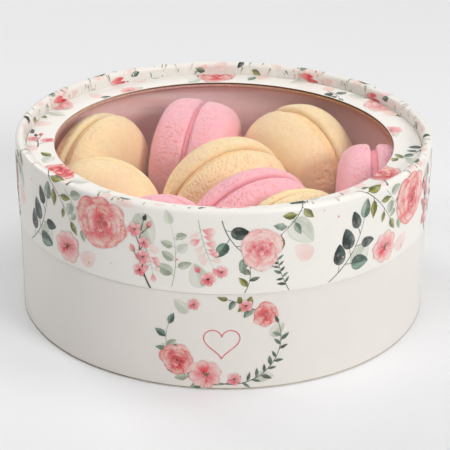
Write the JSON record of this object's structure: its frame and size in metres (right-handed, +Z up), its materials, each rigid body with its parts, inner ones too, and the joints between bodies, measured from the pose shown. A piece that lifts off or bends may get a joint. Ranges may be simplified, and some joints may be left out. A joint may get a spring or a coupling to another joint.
{
  "type": "macaron tube box",
  "caption": "Round card tube box with a lift-off lid, a raised rim and a clear round window, filled with sandwich macarons standing on edge.",
  "frame": {"origin": "middle of the foot, on the surface the box stands on", "axes": "+Z up along the box's axis; -Y towards the viewer of the picture, +X to its right"},
  "size_m": [0.12, 0.12, 0.0527],
  "materials": {
    "base_paper": "satin off-white wrap",
    "lid_paper": "satin white wrap with a printed pattern of flowers and leaves",
    "lining": "matt dusty pink",
    "film": "thin clear film",
    "yellow": "baked almond shell, pale yellow, matt",
    "yellow_filling": "cream filling, orange yellow",
    "pink": "baked almond shell, pink, matt",
    "pink_filling": "cream filling, deeper pink"
  },
  "bodies": {
    "root": {"base_wall": "base_paper", "base_board": "lining", "liner": "lining", "lid_wall": "lid_paper", "lid_ring": "lid_paper", "window_film": "film", "macaron_left_shell_1": "yellow", "macaron_left_shell_2": "yellow", "macaron_left_filling": "yellow_filling", "macaron_left_front_shell_1": "yellow", "macaron_left_front_shell_2": "yellow", "macaron_left_front_filling": "yellow_filling", "macaron_back_shell_1": "pink", "macaron_back_shell_2": "pink", "macaron_back_filling": "pink_filling", "macaron_middle_shell_1": "yellow", "macaron_middle_shell_2": "yellow", "macaron_middle_filling": "yellow_filling", "macaron_middle_front_shell_1": "pink", "macaron_middle_front_shell_2": "pink", "macaron_middle_front_filling": "pink_filling", "macaron_right_front_shell_1": "yellow", "macaron_right_front_shell_2": "yellow", "macaron_right_front_filling": "yellow_filling", "macaron_right_back_shell_1": "yellow", "macaron_right_back_shell_2": "yellow", "macaron_right_back_filling": "yellow_filling", "macaron_right_shell_1": "pink", "macaron_right_shell_2": "pink", "macaron_right_filling": "pink_filling", "macaron_front_shell_1": "pink", "macaron_front_shell_2": "pink", "macaron_front_filling": "pink_filling"}
  },
  "joints": []
}
